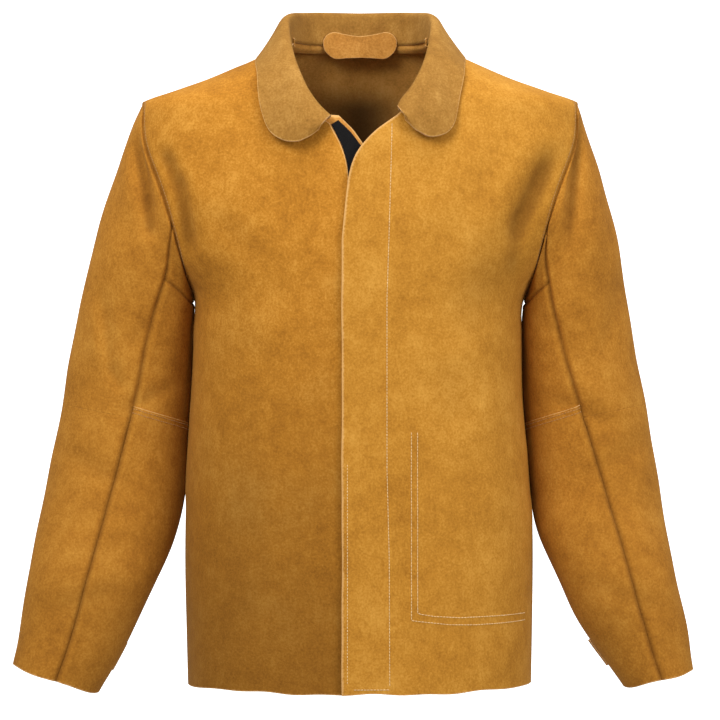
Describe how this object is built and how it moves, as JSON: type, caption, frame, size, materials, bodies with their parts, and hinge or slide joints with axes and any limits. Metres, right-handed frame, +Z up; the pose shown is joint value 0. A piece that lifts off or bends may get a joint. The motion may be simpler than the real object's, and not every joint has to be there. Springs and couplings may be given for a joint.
{
  "type": "leather welding jacket",
  "caption": "Split-leather welding jacket with turned-down collar, lapped front closed by hook-and-loop tape, inner pocket and two-piece sleeves.",
  "frame": {"origin": "middle of the hanging loop inside the back neck, where a coat hook holds the jacket up", "axes": "+Z up, front of the jacket towards -Y, wearer's left towards +X"},
  "size_m": [0.784, 0.2933, 0.7818],
  "materials": {
    "jacket_suede": "golden-brown split suede, napped, cloudy",
    "collar_suede": "the same suede, a little paler",
    "facing_suede": "suede with raw cut edges",
    "hook_and_loop": "black hook-and-loop tape",
    "stud_metal": "dull antique brass"
  },
  "bodies": {
    "torso": {"back_panel": "jacket_suede", "back_yoke": "jacket_suede", "front_left": "jacket_suede", "front_right": "jacket_suede", "underlap": "facing_suede", "loop_tape": "hook_and_loop", "collar_top": "collar_suede", "collar_under": "collar_suede", "neck_facing": "facing_suede", "hang_loop": "facing_suede", "inner_pocket": "facing_suede"},
    "front_flap": {"front_overlap": "jacket_suede", "overlap_facing": "facing_suede", "hook_tape": "hook_and_loop"},
    "upper_sleeve_left": {"top_sleeve_upper_left": "jacket_suede", "armpit_piece_left": "jacket_suede", "under_sleeve_upper_left": "jacket_suede"},
    "lower_sleeve_left": {"top_sleeve_lower_left": "jacket_suede", "under_sleeve_lower_left": "jacket_suede", "stud_post_left": "stud_metal"},
    "cuff_tab_left": {"cuff_tab_left": "jacket_suede", "stud_cap_left": "stud_metal"},
    "upper_sleeve_right": {"top_sleeve_upper_right": "jacket_suede", "armpit_piece_right": "jacket_suede", "under_sleeve_upper_right": "jacket_suede"},
    "lower_sleeve_right": {"top_sleeve_lower_right": "jacket_suede", "under_sleeve_lower_right": "jacket_suede", "stud_post_right": "stud_metal"},
    "cuff_tab_right": {"cuff_tab_right": "jacket_suede", "stud_cap_right": "stud_metal"}
  },
  "joints": [
    {"name": "front_flap_hinge", "type": "hinge", "parent": "torso", "child": "front_flap", "pos_m": [0.0341, -0.2062, -0.442], "axis": [0, 0.022, 0.9998], "range_deg": [0, 120]},
    {"name": "shoulder_left", "type": "hinge", "parent": "torso", "child": "upper_sleeve_left", "pos_m": [0.251, -0.06, -0.0745], "axis": [0, -1, 0], "range_deg": [0, 60]},
    {"name": "elbow_left", "type": "hinge", "parent": "upper_sleeve_left", "child": "lower_sleeve_left", "pos_m": [0.275, -0.1326, -0.435], "axis": [-0.9819, 0, -0.1894], "range_deg": [0, 75]},
    {"name": "cuff_tab_hinge_left", "type": "hinge", "parent": "lower_sleeve_left", "child": "cuff_tab_left", "pos_m": [0.2764, -0.07019, -0.71062], "axis": [-0.4652, 0.1133, 0.8779], "range_deg": [0, 110]},
    {"name": "shoulder_right", "type": "hinge", "parent": "torso", "child": "upper_sleeve_right", "pos_m": [-0.251, -0.06, -0.0745], "axis": [0, 1, 0], "range_deg": [0, 60]},
    {"name": "elbow_right", "type": "hinge", "parent": "upper_sleeve_right", "child": "lower_sleeve_right", "pos_m": [-0.275, -0.1326, -0.435], "axis": [-0.9819, 0, 0.1894], "range_deg": [0, 75]},
    {"name": "cuff_tab_hinge_right", "type": "hinge", "parent": "lower_sleeve_right", "child": "cuff_tab_right", "pos_m": [-0.2764, -0.07019, -0.71062], "axis": [-0.4652, -0.1133, -0.8779], "range_deg": [0, 110]}
  ]
}
